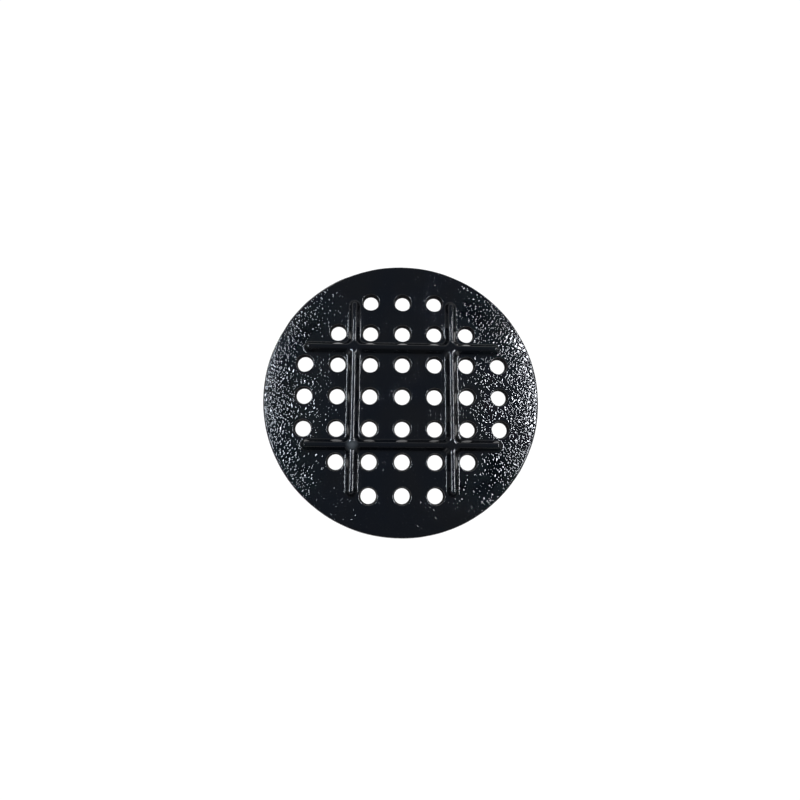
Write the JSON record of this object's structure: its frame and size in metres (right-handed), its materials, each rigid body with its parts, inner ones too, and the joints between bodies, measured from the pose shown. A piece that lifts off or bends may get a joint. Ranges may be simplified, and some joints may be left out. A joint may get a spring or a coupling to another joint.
{
  "type": "floor drain grate",
  "caption": "Round cast-iron floor drain strainer plate with a grid of round drain holes, raised crossing ribs on one side and a plain seating margin.",
  "frame": {"origin": "centre of the flat face, on the axis of the disc", "axes": "+Z from the flat face to the ribbed face, along the axis of the disc; rib_left and rib_right run along Y, rib_upper and rib_lower run along X. The grate is stored with its ribs up; in a floor it lies the other way, with the flat face up and the ribs below"},
  "size_m": [0.2143, 0.2142, 0.0114],
  "materials": {
    "coated_iron": "glossy black dipped coating over sand-cast iron"
  },
  "bodies": {
    "root": {"deck_plate": "coated_iron", "rib_left": "coated_iron", "rib_right": "coated_iron", "rib_upper": "coated_iron", "rib_lower": "coated_iron"}
  },
  "joints": []
}
